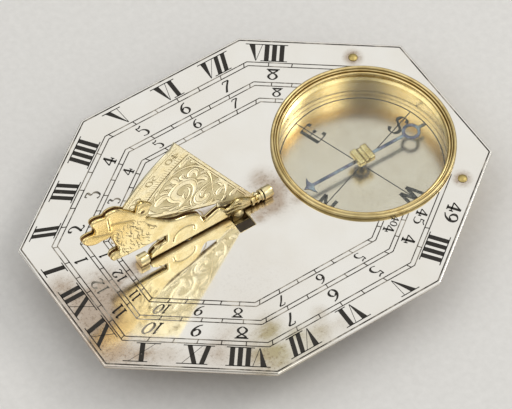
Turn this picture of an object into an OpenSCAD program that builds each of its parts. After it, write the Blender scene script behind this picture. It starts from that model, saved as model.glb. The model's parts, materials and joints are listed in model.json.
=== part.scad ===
// Pocket sundial with a folding bird gnomon and a sunken compass.
// The origin is on the surface it rests on, under the centre of the hour lines.
// +Z is up, +Y runs to the noon end of the plate and +X to the afternoon side.

/* [Dial plate] */
// Width of the plate from the morning side to the afternoon side
plate_w = 60; // [56:0.5:70]
// Distance from the centre of the hour lines to the noon edge
noon_l = 38.6; // [35:0.2:46]
// Length of the two short end edges
end_edge = 26.8; // [22:0.2:34]
// Length of the two long side edges
side_edge = 32; // [26:0.5:40]
// Thickness of the plate
plate_t = 0.8; // [0.6:0.1:1.5]

/* [Compass case] */
// Outer radius of the case wall
case_r = 15.4; // [14.5:0.1:16]
// Thickness of the case wall
case_wall = 0.55; // [0.4:0.05:1]
// Depth from the top of the plate down to the card
well_depth = 6.5; // [6:0.1:9]
// Thickness of the case floor
floor_t = 2; // [1:0.1:2.5]
// Thickness of the silvered card
card_t = 0.6; // [0.4:0.1:1]
// Distance from the bezel to the compass edge of the plate
compass_margin = 1.45; // [1:0.05:2]
// Width of the flange under the plate
flange_w = 1.2; // [0.8:0.1:2]
// Thickness of the flange
flange_t = 0.7; // [0.5:0.1:1]

/* [Case rivets] */
// Distance of each rivet from the case wall
rivet_offset = 2.6; // [2.3:0.1:3]
// Radius of a rivet's shank
rivet_r = 0.6; // [0.4:0.05:0.8]
// Radius of a rivet's domed head
rivet_head_r = 0.9; // [0.85:0.05:1.2]
// Height of a rivet's domed head
rivet_head_h = 0.4; // [0.3:0.05:0.6]
// Radius of the ear that a rivet holds
ear_r = 2; // [1.8:0.1:2.4]
// Direction of the afternoon side's rivet from the compass centre
east_rivet_angle = -29; // [-35:1:-20]
// Direction of the morning side's rivet from the compass centre
west_rivet_angle = 212.6; // [200:0.2:215]

/* [Glass and bezel] */
// Width of the ring that the glass lies on
seat_w = 0.65; // [0.5:0.05:1]
// Thickness of the ring that the glass lies on
seat_t = 0.6; // [0.4:0.05:1]
// Thickness of the glass
glass_t = 0.8; // [0.6:0.1:1]
// Wire radius of the ring that holds the glass down
clip_r = 0.3; // [0.2:0.05:0.4]
// How far the bezel laps over the plate
bezel_lap = 0.35; // [0.3:0.05:0.6]
// Gap between the bezel and the compass knuckle
bezel_gap = 3.1; // [1:0.1:5]
// Height of the bezel's flat foot
bezel_h = 0.5; // [0.4:0.05:0.8]
// Radius of the bezel's outer bead
bead_r = 0.36; // [0.25:0.01:0.4]
// Radius of the bezel's inner bead
inner_bead_r = 0.2; // [0.15:0.01:0.22]

/* [Compass needle] */
// Length from the pivot to the north point
needle_north = 12; // [10:0.1:12.8]
// Length from the pivot to the south end
needle_south = 13.1; // [11:0.1:13.3]
// Width of the needle's shank
needle_w = 0.6; // [0.4:0.05:0.9]
// Thickness of the needle
needle_t = 0.36; // [0.25:0.01:0.5]
// Height of the needle's underside over the card
needle_lift = 1.8; // [1.2:0.1:2.4]
// Half the width of the north point across its barbs
barb_w = 1.85; // [1.2:0.05:2.2]
// Outer radius of the ring at the south end
eye_ring_r = 1.65; // [1.2:0.05:2]
// Width of the band that makes the south ring
eye_ring_band = 0.6; // [0.4:0.05:0.8]
// Radius of the needle's round hub
hub_r = 1.4; // [1.3:0.05:1.6]
// Width and length of the brass cap on the needle
cap_w = 3.3; // [3:0.1:3.6]
// Height of the brass cap over the needle
cap_h = 1.3; // [1.1:0.1:1.6]
// Width of the groove across the cap
cap_groove_w = 0.8; // [0.5:0.05:1]
// Depth of the groove across the cap
cap_groove_d = 0.45; // [0.3:0.05:0.5]
// Radius of the cap's boss, which holds the needle
boss_r = 0.9; // [0.8:0.05:1]
// Length of the needle's tail past the south ring
tail_l = 1.3; // [1:0.1:2]
// Length of the needle's barbed north point
barb_l = 1.9; // [1.9:0.1:2.6]
// Radius of the steel pivot
pivot_r = 0.3; // [0.25:0.01:0.35]

/* [Hinge] */
// Height of the fold axis over the plate
hinge_h = 1.1; // [1.06:0.01:1.3]
// Outer radius of a knuckle
knuckle_r = 1.05; // [1:0.01:1.06]
// Length of a knuckle
knuckle_l = 1.7; // [1.6:0.05:2.2]
// Radius of the journals on the gnomon's foot
journal_r = 0.4; // [0.35:0.01:0.45]
// Length of a journal inside its knuckle
journal_l = 1.1; // [0.8:0.05:1.2]
// Radius of a knuckle's tenon through the plate
tenon_r = 0.6; // [0.4:0.05:0.7]
// Height of the tenon's riveted end under the plate
tenon_head_h = 0.25; // [0.2:0.05:0.4]
// How far the tenon's riveted end spreads past the tenon
tenon_lip = 0.25; // [0.15:0.05:0.4]
// Width of a knuckle's foot on the plate
knuckle_foot_w = 1.6; // [1.4:0.05:1.8]

/* [Gnomon foot] */
// Start of the foot's ringed barrel, next to the compass knuckle
barrel_start = -0.65; // [-0.75:0.01:-0.6]
// Length of the ringed barrel
barrel_l = 2.3; // [2.25:0.05:2.6]
// Radius of the barrel's rings
barrel_r = 1; // [0.95:0.01:1.04]
// Depth of the grooves between the rings
barrel_groove = 0.18; // [0.1:0.01:0.2]
// Noon end of the foot
foot_end = 21.4; // [21.2:0.05:22]
// Gap between the tongue and the sector when it is folded down
tongue_gap = 0.3; // [0.2:0.05:0.5]
// Compass side of the lug that goes down through the plate
lug_start = 3.2; // [2.8:0.1:4]
// Length of the lug along the hinge
lug_l = 2; // [1.6:0.1:2.4]
// Thickness of the lug
lug_t = 0.9; // [0.7:0.05:1.1]
// Reach of the lug from the fold axis
lug_reach = 3.1; // [2.8:0.1:3.4]

/* [Cheeks] */
// Thickness of each bird-shaped cheek
cheek_t = 0.4; // [0.3:0.01:0.45]
// Radius of the rivets through the cheeks
cheek_rivet_r = 0.35; // [0.25:0.01:0.45]
// Places of the rivets along the foot
cheek_rivets_at = [12.8, 18.6];
// Radius of the bird's eye
bird_eye_r = 0.22; // [0.15:0.01:0.3]

/* [Latitude sector] */
// Thickness of the sector
sector_t = 0.4; // [0.3:0.01:0.5]
// Radius of the sector's curved edge, from its rivet
sector_r = 30.8; // [29:0.1:31.5]
// Slope of the style edge in degrees
style_angle = 60.3; // [58:0.1:62]
// How far the pointed tip stands past the curved edge
tip_h = 0.85; // [0.4:0.05:1]
// Slope of the line from the rivet to the sector's low corner
low_angle = 26; // [25:0.5:28]
// Radius of the round eye at the sector's rivet
sector_eye_r = 0.75; // [0.65:0.01:0.76]
// Radius of the sector's rivet
sector_rivet_r = 0.35; // [0.25:0.01:0.4]
// Height of the sector's rivet over the plate
sector_rivet_h = 1.6; // [1.58:0.01:1.65]
// How far the sector folds down from rest, in degrees
tilt_range = 20; // [15:1:20]

/* [Leaf spring] */
// Width of the spring
spring_w = 2; // [1.4:0.1:2.6]
// Thickness of the spring
spring_t = 0.35; // [0.25:0.01:0.45]
// Length of the spring's flat foot, which lies on the plate
spring_foot = 5.5; // [4.5:0.1:7]
// Radius of the spring's rivet
spring_rivet_r = 0.45; // [0.35:0.01:0.55]
// How far the head of the spring's rivet spreads past its shank
spring_head_lip = 0.45; // [0.3:0.05:0.5]
// Height of the head of the spring's rivet
spring_head_h = 0.4; // [0.3:0.05:0.6]

/* [Clearances] */
// Gap on each side of a soldered or pressed joint
joint_gap = 0.01; // [0.01:0.005:0.02]
// Gap around a pin that turns
turn_gap = 0.03; // [0.02:0.01:0.05]
// Gap on each side of the sector, between the cheeks
slide_gap = 0.05; // [0.03:0.01:0.08]
// Gap between the lug and the leaf spring
spring_gap = 0.05; // [0.03:0.01:0.1]
// Gap between the foot and the compass knuckle
compass_knuckle_gap = 0.2; // [0.1:0.05:0.3]
// Gap between the foot and the noon knuckle
noon_knuckle_gap = 0.4; // [0.1:0.05:0.5]

/* [Hidden] */

$fn = 96;
cut = 0.5;
curve_steps = 3;

gilt = [0.84, 0.67, 0.33];
silver = [0.86, 0.85, 0.81];
silvered = [0.78, 0.77, 0.70];
blued = [0.2, 0.27, 0.45];
steel = [0.6, 0.6, 0.62];
clear = [0.9, 0.95, 0.92, 0.35];

plate_top = floor_t + card_t + well_depth;
plate_under = plate_top - plate_t;
case_bore = case_r - case_wall;
bezel_r = case_r + bezel_lap;
compass_knuckle_at = barrel_start - compass_knuckle_gap;
bezel_edge = compass_knuckle_at - knuckle_l - bezel_gap;
compass_y = bezel_edge - bezel_r;
compass_l = compass_margin + bezel_r - compass_y;
card_top = floor_t + card_t;

clip_z = plate_top;
glass_top = clip_z - clip_r;
glass_under = glass_top - glass_t;
seat_under = glass_under - seat_t;

rivet_pitch_r = case_r + rivet_offset;
rivet_angles = [east_rivet_angle, west_rivet_angle];
rivet_dome_r = (rivet_head_r * rivet_head_r + rivet_head_h * rivet_head_h) / (2 * rivet_head_h);

needle_z = card_top + needle_lift;
needle_top = needle_z + needle_t;
cap_bore_r = pivot_r + turn_gap;
cap_roof = 0.35;
cap_bore_top = needle_top + cap_h - cap_groove_d - cap_roof;
pivot_tip_h = 0.4;

hinge_z = plate_top + hinge_h;
cheek_seat_lift = 0.1;
shoulder_h = hinge_h + cheek_seat_lift;
barrel_end = barrel_start + barrel_l;
ring_w = 0.35;
ring_count = 3;
noon_knuckle_at = foot_end + noon_knuckle_gap;
journal_end_gap = 0.1;

gap_w = sector_t + 2 * slide_gap;
gnomon_w = gap_w + 2 * cheek_t;
through_l = 2 * (gnomon_w + barrel_r);
lug_corner_r = 0.6;
slot_compass_room = 0.2;
slot_noon_room = 0.7;
slot_west_room = 0.7;
slot_west = lug_reach + slot_west_room;
slot_east = 1;

// The style edge, drawn on past the rivet, meets the plate at style_foot.
style_foot = -0.34;
sector_y = style_foot + sector_rivet_h / tan(style_angle);
eye_room = 0.12;
tip_sweep = 3;

spring_before_lug = 1.4;
spring_past_lug = 1.8;
spring_run = 4;
spring_z = hinge_z - lug_reach - spring_gap;
spring_start = lug_start - spring_before_lug;
spring_bend = lug_start + lug_l + spring_past_lug;
spring_seat = spring_bend + spring_run;
spring_end = spring_seat + spring_foot;
spring_rivet_y = spring_end - spring_foot / 2;

// Outlines are in millimetres along Y and up from the cheeks' lower edge.
bar_scroll = [
  [barrel_end, 1.1], [2.4, 1.7], [3.4, 2.4], [4.2, 2.9], [4.9, 2.9], [5.4, 2.3], [6, 1.9],
  [6.6, 1.95], [7.2, 2.6], [7.9, 3.1], [8.7, 2.9], [9.6, 2.4], [10.4, 2]
];
breast = [
  [10.4, 2], [11, 2.3], [11.4, 3.3], [11.7, 4.3], [12.3, 5.1], [13.3, 5.8], [14.6, 6.4],
  [16.5, 6.9], [18, 7.8], [19.4, 9.2], [20.4, 10.3], [21.6, 11.5], [22.3, 12.3]
];
throat = [[22.3, 12.3], [21.6, 13], [21.4, 13.6], [21.5, 14.2], [20.9, 14.9]];
head = [
  [20.9, 14.9], [21.6, 15.8], [22.4, 16.6], [23.1, 16.9], [23.7, 16.6], [23.9, 15.8], [24.1, 15]
];
back = [
  [24.1, 15], [25, 16.1], [26, 17.2], [26.9, 18.1], [27.7, 18.6], [28.6, 18.8], [29.4, 18.6],
  [29.8, 18.1]
];
crest = [
  [29.8, 18.1], [30.6, 18.4], [31.4, 18.6], [32.1, 18.4], [32.3, 17.6], [31.9, 16.8],
  [31.7, 15.9], [31.8, 15]
];
tail = [
  [31.8, 15], [32.5, 15.1], [33.3, 15.1], [33.9, 14.8], [33.9, 14], [33.3, 13.1], [32.4, 12.4],
  [31.4, 12.1], [30.4, 12.2], [29.7, 11.9], [29, 12.1], [28.4, 12.3]
];
rump = [[28.4, 12.3], [28.6, 11.5], [28.3, 10], [27.9, 8.8], [27.6, 7.6], [27.5, 6.8]];
lobe = [[27.5, 6.8], [28.2, 6.8], [28.9, 6.4], [29, 5.6], [28.5, 4.7]];
belly = [[28.5, 4.7], [26, 4.4], [22, 4.1], [18.3, 4]];
heel = [
  [18.3, 4], [18.35, 2.1], [19.4, 1.95], [20.4, 1.6], [foot_end - 0.2, 0.9], [foot_end, 0.4]
];
cheek_runs = [bar_scroll, breast, throat, head, back, crest, tail, rump, lobe, belly];
bird_eye = [22.8, 14.4];

// Half of the needle's barbed point, from the tip back to the shank.
barb = [
  [0, 0], [barb_w * 0.25, -0.8], [barb_w * 0.65, -1.2], [barb_w, -1.7], [barb_w * 0.55, -1.6],
  [needle_w / 2, -barb_l]
];

// The sector's straight edges, in millimetres along Y and up from its rivet.
step_top = [7.7, 4.3];
step_foot = [7.7, 3];
sector_heel = [1.5, 0.7];

// The tongue starts and stops short of the sector's step as it lies when folded down.
folded_step = turned_down(step_top, tilt_range);
tongue_start = sector_y + folded_step[0] + tongue_gap;
tongue_end_gap = 1;
tongue_end = foot_end - tongue_end_gap;
tongue_h = sector_rivet_h + folded_step[1] - tongue_gap - shoulder_h;

function spline(a, b, c, d, t) =
  0.5 * (2 * b + (c - a) * t + (2 * a - 5 * b + 4 * c - d) * t * t
         + (3 * b - a - 3 * c + d) * t * t * t);

function smooth_run(run) = [
  for (i = [0 : len(run) - 2]) for (k = [0 : curve_steps - 1])
    spline(run[max(i - 1, 0)], run[i], run[i + 1], run[min(i + 2, len(run) - 1)], k / curve_steps)
];

function polar(r, a) = [r * cos(a), r * sin(a)];

function turned_down(p, a) = [p[0] * cos(a) + p[1] * sin(a), p[1] * cos(a) - p[0] * sin(a)];

cheek_outline = concat(
  [for (run = cheek_runs) for (p = smooth_run(run)) p],
  heel,
  [[foot_end, 0], [barrel_end, 0]]
);

// A flat outline drawn along Y and Z, made into a slab of thickness t around X = 0.
module slab(t) {
  rotate([90, 0, 90]) linear_extrude(t, center = true) children();
}

// A round bar along Y on the fold axis, from y to y + l.
module on_axis(r, y, l) {
  translate([0, y, hinge_z]) rotate([-90, 0, 0]) cylinder(r = r, h = l);
}

module at_compass(z) {
  translate([0, compass_y, z]) children();
}

module at_rivets() {
  for (a = rivet_angles)
    at_compass(0) rotate([0, 0, a]) translate([rivet_pitch_r, 0, 0]) children();
}

// A round ring between two radii, standing on z.
module ring(r_in, r_out, z, h) {
  at_compass(z) difference() {
    cylinder(r = r_out, h = h);
    translate([0, 0, -cut]) cylinder(r = r_in, h = h + 2 * cut);
  }
}

module plate_outline() {
  polygon([
    [plate_w / 2, side_edge / 2], [end_edge / 2, noon_l],
    [-end_edge / 2, noon_l], [-plate_w / 2, side_edge / 2],
    [-plate_w / 2, -side_edge / 2], [-end_edge / 2, -compass_l],
    [end_edge / 2, -compass_l], [plate_w / 2, -side_edge / 2]
  ]);
}

module dial_plate() {
  color(silver) difference() {
    translate([0, 0, plate_under]) linear_extrude(plate_t) plate_outline();
    at_compass(plate_under - cut) cylinder(r = case_r + joint_gap, h = plate_t + 2 * cut);
    at_rivets() cylinder(r = rivet_r + joint_gap, h = plate_top + cut);
    translate([-slot_west, lug_start - slot_compass_room, plate_under - cut])
      cube([slot_west + slot_east, lug_l + slot_compass_room + slot_noon_room, plate_t + 2 * cut]);
    for (y = [compass_knuckle_at - knuckle_l / 2, noon_knuckle_at + knuckle_l / 2])
      translate([0, y, plate_under - cut]) cylinder(r = tenon_r + joint_gap, h = plate_t + 2 * cut);
    translate([0, spring_rivet_y, plate_under - cut])
      cylinder(r = spring_rivet_r + joint_gap, h = plate_t + 2 * cut);
  }
}

module compass_case() {
  color(gilt) {
    ring(case_bore, case_r, 0, plate_top);
    difference() {
      translate([0, 0, plate_under - flange_t]) union() {
        at_compass(0) cylinder(r = case_r + flange_w, h = flange_t);
        at_rivets() cylinder(r = ear_r, h = flange_t);
      }
      at_compass(-cut) cylinder(r = case_bore + case_wall / 2, h = plate_top + 2 * cut);
      at_rivets() cylinder(r = rivet_r + joint_gap, h = plate_top);
    }
  }
}

module compass_floor() {
  color(gilt) difference() {
    at_compass(0) cylinder(r = case_bore - joint_gap, h = floor_t);
    at_compass(floor_t / 2) cylinder(r = pivot_r + joint_gap, h = floor_t);
  }
}

module compass_card() {
  color(silvered) ring(pivot_r + joint_gap, case_bore - slide_gap, floor_t, card_t);
}

module glass_seat_ring() {
  color(gilt) ring(case_bore - seat_w, case_bore - joint_gap, seat_under, seat_t);
}

module compass_glass() {
  color(clear) at_compass(glass_under) cylinder(r = case_bore - slide_gap, h = glass_t);
}

module glass_clip_ring() {
  color(gilt) at_compass(clip_z)
    rotate_extrude() translate([case_bore - joint_gap - clip_r, 0]) circle(r = clip_r);
}

module compass_bezel() {
  color(gilt) at_compass(plate_top) rotate_extrude() {
    translate([case_bore, 0]) square([bezel_r - case_bore, bezel_h]);
    translate([bezel_r - bead_r, bezel_h]) circle(r = bead_r);
    translate([case_bore + inner_bead_r, bezel_h]) circle(r = inner_bead_r);
  }
}

// One rivet: a shank through the ear and the plate, with a domed head on the plate.
module case_rivet() {
  translate([0, 0, plate_under - flange_t]) cylinder(r = rivet_r, h = plate_t + flange_t);
  intersection() {
    translate([0, 0, plate_top + rivet_head_h - rivet_dome_r]) sphere(r = rivet_dome_r);
    translate([0, 0, plate_top]) cylinder(r = rivet_head_r, h = rivet_head_h);
  }
}

module case_rivets() {
  color(gilt) at_rivets() case_rivet();
}

module needle_pivot() {
  pin_top = cap_bore_top - turn_gap;
  color(steel) at_compass(floor_t / 2) {
    cylinder(r = pivot_r, h = pin_top - pivot_tip_h - floor_t / 2);
    translate([0, 0, pin_top - pivot_tip_h - floor_t / 2])
      cylinder(r1 = pivot_r, r2 = pivot_r / 3, h = pivot_tip_h);
  }
}

// The needle seen from above, around its pivot, with north along +Y.
module needle_outline() {
  ring_at = -(needle_south - tail_l - eye_ring_r);
  difference() {
    union() {
      translate([-needle_w / 2, ring_at]) square([needle_w, needle_north - barb_l / 2 - ring_at]);
      translate([-needle_w / 2, -needle_south]) square([needle_w, tail_l + eye_ring_band / 2]);
      translate([0, ring_at]) circle(r = eye_ring_r);
      circle(r = hub_r);
      translate([0, needle_north]) polygon(concat(
        [for (p = barb) [-p[0], p[1]]],
        [for (i = [len(barb) - 1 : -1 : 1]) barb[i]]
      ));
    }
    translate([0, ring_at]) circle(r = eye_ring_r - eye_ring_band);
    circle(r = boss_r + joint_gap);
  }
}

module compass_needle() {
  color(blued) at_compass(needle_z) linear_extrude(needle_t) needle_outline();
}

module needle_cap() {
  color(gilt) difference() {
    union() {
      at_compass(needle_z) cylinder(r = boss_r, h = needle_t + cap_h / 2);
      at_compass(needle_top) translate([-cap_w / 2, -cap_w / 2, 0]) cube([cap_w, cap_w, cap_h]);
    }
    at_compass(needle_top + cap_h - cap_groove_d)
      translate([-cap_w, -cap_groove_w / 2, 0]) cube([2 * cap_w, cap_groove_w, cap_h]);
    at_compass(needle_z - cut) cylinder(r = cap_bore_r, h = cap_bore_top - needle_z + cut);
  }
}

// A knuckle from y to y + knuckle_l, whose blind bore opens at mouth.
module knuckle(y, mouth) {
  bore_l = journal_l + journal_end_gap;
  middle = y + knuckle_l / 2;
  bore_from = mouth > middle ? mouth - bore_l : mouth - cut;
  difference() {
    union() {
      on_axis(knuckle_r, y, knuckle_l);
      translate([-knuckle_foot_w / 2, y, plate_top]) cube([knuckle_foot_w, knuckle_l, hinge_h]);
      translate([0, middle, plate_under - tenon_head_h])
        cylinder(r = tenon_r, h = plate_t + tenon_head_h + cut);
      translate([0, middle, plate_under - tenon_head_h])
        cylinder(r = tenon_r + tenon_lip, h = tenon_head_h);
    }
    on_axis(journal_r + turn_gap, bore_from, bore_l + cut);
  }
}

module compass_knuckle() {
  color(gilt) knuckle(compass_knuckle_at - knuckle_l, compass_knuckle_at);
}

module noon_knuckle() {
  color(gilt) knuckle(noon_knuckle_at, noon_knuckle_at);
}

// The lug's outline along Y and Z, with rounded lower corners.
module lug_outline() {
  low = hinge_z - lug_reach;
  translate([lug_start, low + lug_corner_r]) square([lug_l, lug_reach - lug_corner_r]);
  translate([lug_start + lug_corner_r, low]) square([lug_l - 2 * lug_corner_r, lug_reach]);
  for (y = [lug_start + lug_corner_r, lug_start + lug_l - lug_corner_r])
    translate([y, low + lug_corner_r]) circle(r = lug_corner_r);
}

module lug() {
  intersection() {
    slab(lug_t) lug_outline();
    on_axis(lug_reach, lug_start - cut, lug_l + 2 * cut);
  }
}

module barrel() {
  on_axis(barrel_r - barrel_groove, barrel_start, barrel_l);
  for (k = [0 : ring_count - 1])
    on_axis(barrel_r, barrel_start + k * (barrel_l - ring_w) / (ring_count - 1), ring_w);
}

module foot_bar() {
  difference() {
    on_axis(gnomon_w / 2, barrel_end, foot_end - barrel_end);
    translate([-gnomon_w, barrel_end - cut, plate_top + shoulder_h])
      cube([2 * gnomon_w, foot_end - barrel_end + 2 * cut, gnomon_w]);
  }
}

module gnomon_foot() {
  color(gilt) difference() {
    union() {
      barrel();
      foot_bar();
      lug();
      on_axis(journal_r, compass_knuckle_at - journal_l, journal_l + compass_knuckle_gap);
      on_axis(journal_r, foot_end, journal_l + noon_knuckle_gap);
      translate([-gap_w / 2, tongue_start, hinge_z])
        cube([gap_w, tongue_end - tongue_start, cheek_seat_lift + tongue_h]);
    }
    translate([-gap_w / 2, sector_y - sector_eye_r - eye_room,
               plate_top + sector_rivet_h - sector_eye_r - eye_room / 2])
      cube([gap_w, barrel_end - sector_y + sector_eye_r + eye_room, barrel_r * 2]);
    translate([0, sector_y, plate_top + sector_rivet_h])
      rotate([0, 90, 0]) cylinder(r = sector_rivet_r + joint_gap, h = through_l, center = true);
    for (y = cheek_rivets_at) cheek_rivet(y, cheek_rivet_r + joint_gap, through_l);
  }
}

module cheek_rivet(y, r, l) {
  translate([0, y, plate_top + shoulder_h + tongue_h / 2])
    rotate([0, 90, 0]) cylinder(r = r, h = l, center = true);
}

// A bird-shaped cheek on one side of the sector: side is -1 for west and 1 for east.
module cheek(side) {
  difference() {
    translate([side * (gap_w + cheek_t) / 2, 0, plate_top + shoulder_h])
      slab(cheek_t) difference() {
        polygon(cheek_outline);
        translate(bird_eye) circle(r = bird_eye_r);
      }
    for (y = cheek_rivets_at) cheek_rivet(y, cheek_rivet_r + joint_gap, through_l);
  }
}

module west_cheek() {
  color(gilt) cheek(-1);
}

module east_cheek() {
  color(gilt) cheek(1);
}

module cheek_rivets() {
  color(gilt) for (y = cheek_rivets_at) cheek_rivet(y, cheek_rivet_r, gnomon_w);
}

// The sector's outline around its rivet, with the style edge through the rivet.
module sector_outline() {
  past = sector_r * 1.2;
  difference() {
    union() {
      circle(r = sector_eye_r);
      intersection() {
        circle(r = sector_r);
        polygon([
          [0, 0], sector_heel, step_foot, step_top, polar(sector_r, low_angle),
          polar(past, low_angle), polar(past, style_angle)
        ]);
      }
      polygon([
        polar(sector_r - tip_h, style_angle), polar(sector_r, style_angle - tip_sweep),
        polar(sector_r + tip_h, style_angle)
      ]);
    }
    circle(r = sector_rivet_r + turn_gap);
  }
}

module latitude_sector() {
  color(gilt) translate([0, sector_y, plate_top + sector_rivet_h])
    slab(sector_t) sector_outline();
}

module sector_rivet() {
  reach = sqrt(pow(barrel_r - barrel_groove, 2) - pow(sector_rivet_h - hinge_h, 2));
  color(gilt) translate([0, sector_y, plate_top + sector_rivet_h])
    rotate([0, 90, 0]) cylinder(r = sector_rivet_r, h = 2 * reach, center = true);
}

// The spring lies on the plate's underside at its rivet and dips to bear on the lug.
module leaf_spring() {
  color(gilt) difference() {
    slab(spring_w) polygon([
      [spring_start, spring_z], [spring_bend, spring_z], [spring_seat, plate_under],
      [spring_end, plate_under], [spring_end, plate_under - spring_t],
      [spring_seat, plate_under - spring_t], [spring_bend, spring_z - spring_t],
      [spring_start, spring_z - spring_t]
    ]);
    translate([0, spring_rivet_y, plate_under - spring_t - cut])
      cylinder(r = spring_rivet_r + joint_gap, h = spring_t + 2 * cut);
  }
}

module spring_rivet() {
  color(gilt) translate([0, spring_rivet_y, 0]) {
    translate([0, 0, plate_under - spring_t - spring_head_h])
      cylinder(r = spring_rivet_r + spring_head_lip, h = spring_head_h);
    translate([0, 0, plate_under - spring_t]) cylinder(r = spring_rivet_r, h = spring_t + plate_t);
  }
}

dial_plate();
compass_case();
compass_floor();
compass_card();
glass_seat_ring();
compass_glass();
glass_clip_ring();
compass_bezel();
case_rivets();
needle_pivot();
compass_needle();
needle_cap();
compass_knuckle();
noon_knuckle();
gnomon_foot();
west_cheek();
east_cheek();
cheek_rivets();
latitude_sector();
sector_rivet();
leaf_spring();
spring_rivet();
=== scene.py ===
"""Looks of a pocket sundial: a folding bird gnomon and a sunken compass on an engraved plate."""

import json
import random
from math import atan2, ceil, cos, degrees, exp, log, pi, radians, sin, sqrt, tau

import bmesh
import bpy
from mathutils import Matrix, Vector
from mathutils.geometry import delaunay_2d_cdt
from mathutils.kdtree import KDTree


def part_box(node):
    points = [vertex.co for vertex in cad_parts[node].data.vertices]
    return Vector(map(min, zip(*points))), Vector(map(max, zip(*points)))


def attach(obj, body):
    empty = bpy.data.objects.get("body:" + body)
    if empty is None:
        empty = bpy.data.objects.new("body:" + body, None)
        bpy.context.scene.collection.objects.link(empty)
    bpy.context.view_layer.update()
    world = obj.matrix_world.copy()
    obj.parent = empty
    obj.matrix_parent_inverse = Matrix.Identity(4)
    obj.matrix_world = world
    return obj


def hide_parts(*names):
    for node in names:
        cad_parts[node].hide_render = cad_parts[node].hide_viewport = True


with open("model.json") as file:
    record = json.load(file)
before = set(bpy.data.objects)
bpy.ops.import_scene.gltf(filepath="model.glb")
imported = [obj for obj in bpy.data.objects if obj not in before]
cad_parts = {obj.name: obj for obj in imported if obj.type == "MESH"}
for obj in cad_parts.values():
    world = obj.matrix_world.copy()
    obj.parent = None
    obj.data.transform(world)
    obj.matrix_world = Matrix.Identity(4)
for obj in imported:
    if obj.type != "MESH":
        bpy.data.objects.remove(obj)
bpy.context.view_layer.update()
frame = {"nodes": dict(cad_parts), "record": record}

# Lengths below are in millimetres, and MM turns them into Blender's metres.
MM = 0.001


def box_mm(node):
    low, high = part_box(node)
    return low / MM, high / MM


def points_of(node):
    return [v.co / MM for v in frame["nodes"][node].data.vertices]


PLATE_HIGH = box_mm("dial_plate")[1]
BEZEL_LOW, BEZEL_HIGH = box_mm("compass_bezel")
TOP = PLATE_HIGH.z
CARD_TOP = box_mm("compass_card")[1].z
COMPASS = Vector((0, (BEZEL_LOW.y + BEZEL_HIGH.y) / 2))
BEZEL_R = (BEZEL_HIGH.y - BEZEL_LOW.y) / 2

# The camera looks at AIM, on the plate's top, as the photograph does.
AIM = (-0.59, 0.76)
AZIMUTH = -124.53
ELEVATION = 55.7
ROLL = 1.08
DISTANCE = 530.7
LENS = 224.3

KEY_AT = Vector((-170, -600, 660))
KEY_ACROSS = 320
KEY_POWER = 1.3


def stand(data, place, turn):
    """A camera or lamp at a place in millimetres, turned by a matrix."""
    obj = bpy.data.objects.new(data.name, data)
    bpy.context.scene.collection.objects.link(obj)
    obj.matrix_world = Matrix.Translation(place * MM) @ turn.to_4x4()
    return obj


def camera():
    azimuth, elevation = radians(AZIMUTH), radians(ELEVATION)
    back = Vector((sin(azimuth) * cos(elevation),
                   -cos(azimuth) * cos(elevation), sin(elevation)))
    data = bpy.data.cameras.new("camera")
    data.lens = LENS
    data.clip_start, data.clip_end = 0.01, 10
    turn = back.to_track_quat("Z", "Y").to_matrix() @ Matrix.Rotation(radians(ROLL), 3, "Z")
    bpy.context.scene.camera = stand(data, Vector((*AIM, TOP)) + back * DISTANCE, turn)


def key_light():
    """A soft lamp to the camera's right, for the floor's shadow and the edges' glints."""
    data = bpy.data.lights.new("key", "AREA")
    data.shape = "DISK"
    data.size = KEY_ACROSS * MM
    data.energy = KEY_POWER
    data.color = (1, 0.97, 0.93)
    stand(data, KEY_AT, KEY_AT.to_track_quat("Z", "Y").to_matrix())


# Soft panels of the sky: direction, added brightness, and the angles where they are full and end.
PANELS = [
    ((-0.4, -0.4, 0.826), 0.07, 12, 30),
    ((-0.3, -0.478, 0.826), 0.46, 4, 13),
    ((-0.554, -0.098, 0.826), 1.85, 4, 13),
    ((0.19, 0.53, 0.826), 0.84, 9, 30),
    ((0.464, -0.319, 0.826), 0.05, 15, 40),
    ((-0.464, 0.319, 0.826), -0.64, 6, 22),
    ((0.8, 0.22, 0.55), -0.25, 10, 30),
    ((-0.92, -0.22, 0.32), 0.36, 10, 40),
]
# The sky's colours by the sine of their elevation.
SKY = [(0.0, (0.1, 0.1, 0.105)), (0.22, (0.26, 0.26, 0.265)), (0.5, (0.62, 0.615, 0.6)),
       (0.8, (0.83, 0.825, 0.805))]


def sky():
    """A studio sky, bright overhead and dark toward the horizon."""
    world = bpy.data.worlds.new("studio")
    bpy.context.scene.world = world
    world.use_nodes = True
    n = Nodes(world.node_tree)
    way = n.nodes.new("ShaderNodeTexCoord").outputs["Generated"]
    height = n.add("SeparateXYZ", {0: way}).outputs["Z"]
    light = n.ramp(height, *SKY)
    for direction, brightness, full, ends in PANELS:
        cosine = n.add("VectorMath", {0: way, 1: Vector(direction).normalized()},
                       operation="DOT_PRODUCT").outputs["Value"]
        lobe = n.clamped(cosine, cos(radians(ends)), cos(radians(full)))
        light = n.add("VectorMath", {0: light, 1: n.times(lobe, brightness)},
                      operation="ADD").outputs[0]
    n.feed(n.nodes["Background"].inputs["Color"], light)


def floor():
    bpy.ops.mesh.primitive_plane_add(size=4)
    obj = bpy.context.object
    obj.name = "floor"
    obj.data.materials.append(floor_paper())


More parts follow.
